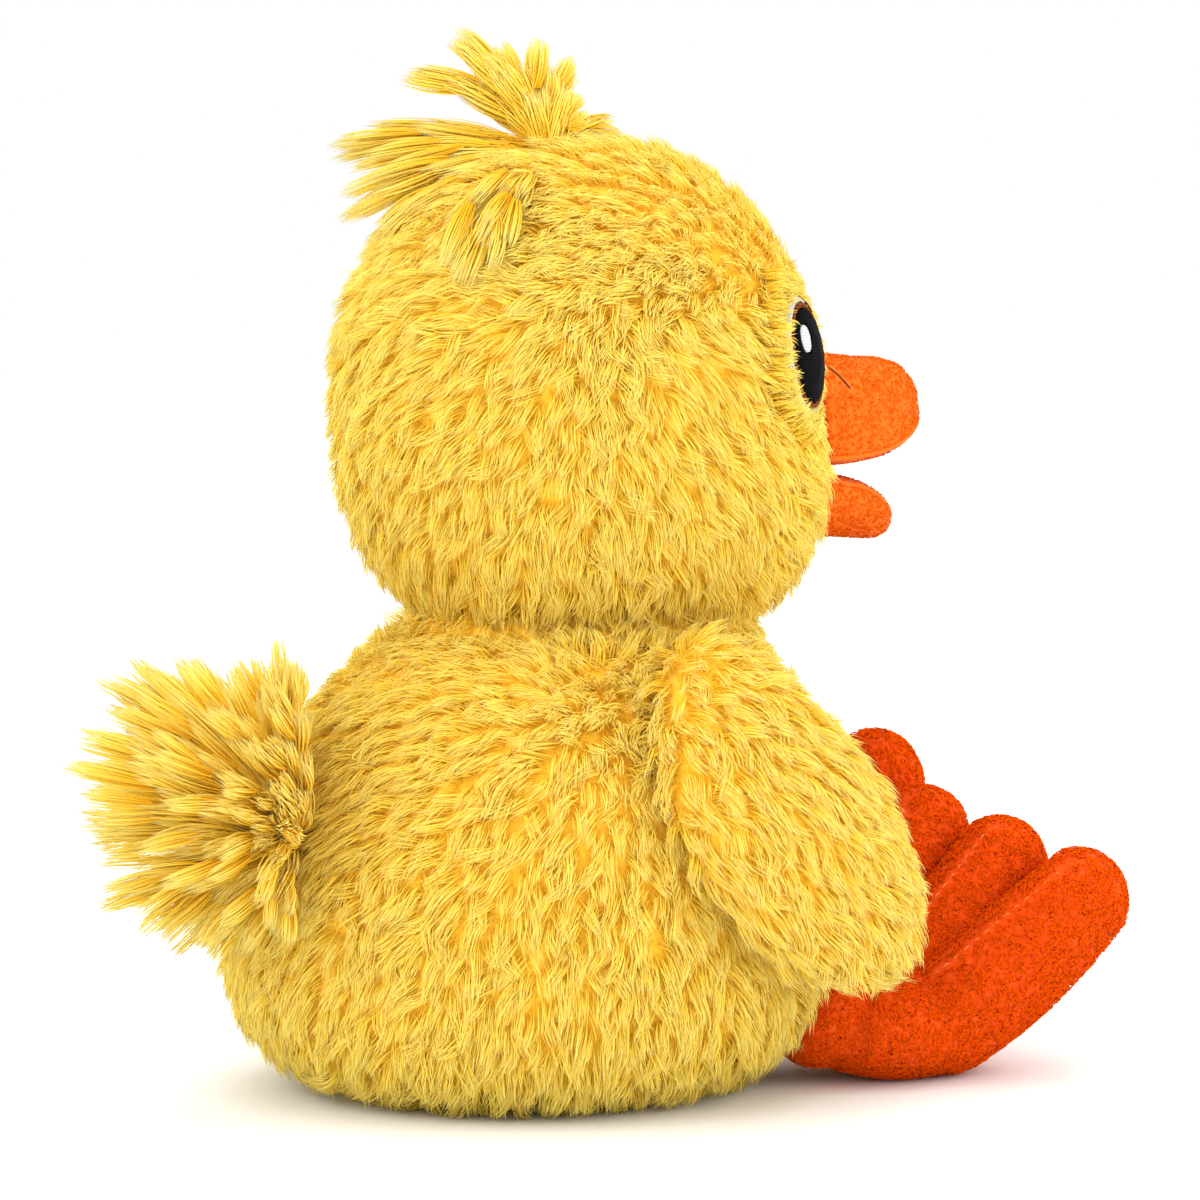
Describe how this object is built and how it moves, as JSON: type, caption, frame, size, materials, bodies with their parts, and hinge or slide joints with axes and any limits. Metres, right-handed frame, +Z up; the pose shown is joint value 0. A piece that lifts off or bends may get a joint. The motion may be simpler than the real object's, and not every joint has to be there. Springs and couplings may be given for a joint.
{
  "type": "plush duck",
  "caption": "Sitting plush duckling in shaggy yellow fabric, with an orange bill, toed feet, sewn-on wings, and tufts of long pile on the crown and at the tail.",
  "frame": {"origin": "middle of the flat seat, on the surface that the toy sits on", "axes": "+Z up, -Y the way the duck faces, +X its left side"},
  "size_m": [0.1966, 0.2779, 0.275],
  "materials": {
    "fur_yellow": "long shaggy pile",
    "fur_pale": "long shaggy pile",
    "velour_orange": "short brushed pile",
    "fleece_orange": "short curled pile",
    "eye_white": "dense satin stitch",
    "eye_brown": "dense satin stitch",
    "eye_black": "dense satin stitch",
    "fibrefill": "loose white fibre",
    "pouch_cloth": "plain woven cloth"
  },
  "bodies": {
    "torso": {"body_panel_left": "fur_yellow", "body_panel_right": "fur_yellow", "base_panel": "fur_yellow", "body_stuffing": "fibrefill", "pellet_pouch": "pouch_cloth", "ankle_left": "fleece_orange", "ankle_right": "fleece_orange", "tail": "fur_yellow"},
    "neck": {"neck": "fur_yellow"},
    "head": {"head_crown_panel": "fur_yellow", "head_panel_left": "fur_yellow", "head_panel_right": "fur_yellow", "head_stuffing": "fibrefill", "bill_upper": "velour_orange", "bill_palate": "velour_orange", "crest": "fur_yellow", "eye_white_left": "eye_white", "eye_iris_left": "eye_brown", "eye_pupil_left": "eye_black", "eye_glint_left": "eye_white", "eye_white_right": "eye_white", "eye_iris_right": "eye_brown", "eye_pupil_right": "eye_black", "eye_glint_right": "eye_white"},
    "lower_bill": {"bill_lower": "velour_orange", "mouth_floor": "velour_orange"},
    "wing_left": {"wing_panel_left": "fur_pale", "wing_lining_left": "fur_pale", "wing_stuffing_left": "fibrefill"},
    "wing_right": {"wing_panel_right": "fur_pale", "wing_lining_right": "fur_pale", "wing_stuffing_right": "fibrefill"},
    "foot_left": {"foot_upper_left": "fleece_orange", "foot_sole_left": "fleece_orange"},
    "foot_right": {"foot_upper_right": "fleece_orange", "foot_sole_right": "fleece_orange"}
  },
  "joints": [
    {"name": "head_turn", "type": "hinge", "parent": "torso", "child": "neck", "pos_m": [0, -0.017, 0.104], "axis": [0, 0, 1], "range_deg": [-20, 20], "stiffness_Nm_per_rad": 0.6},
    {"name": "head_nod", "type": "hinge", "parent": "neck", "child": "head", "pos_m": [0, -0.017, 0.104], "axis": [0.9925, -0.1219, 0], "range_deg": [-5, 5], "stiffness_Nm_per_rad": 1.5},
    {"name": "bill_close", "type": "hinge", "parent": "head", "child": "lower_bill", "pos_m": [-0.00768, -0.07953, 0.158], "axis": [-0.9925, 0.1219, 0], "range_deg": [0, 10], "stiffness_Nm_per_rad": 0.05},
    {"name": "wing_left_lift", "type": "hinge", "parent": "torso", "child": "wing_left", "pos_m": [0.05255, -0.00412, 0.112], "axis": [0.2079, -0.9781, 0], "range_deg": [0, 40]},
    {"name": "wing_right_lift", "type": "hinge", "parent": "torso", "child": "wing_right", "pos_m": [-0.05255, -0.00412, 0.112], "axis": [0.2079, 0.9781, 0], "range_deg": [0, 40]},
    {"name": "foot_left_bend", "type": "hinge", "parent": "torso", "child": "foot_left", "pos_m": [0.04738, -0.07553, 0.025], "axis": [-0.9354, 0.286, 0.2079], "range_deg": [0, 12], "stiffness_Nm_per_rad": 0.4},
    {"name": "foot_right_bend", "type": "hinge", "parent": "torso", "child": "foot_right", "pos_m": [-0.04661, -0.05969, 0.0186], "axis": [-0.9686, -0.1361, -0.2079], "range_deg": [0, 12], "stiffness_Nm_per_rad": 0.4}
  ]
}
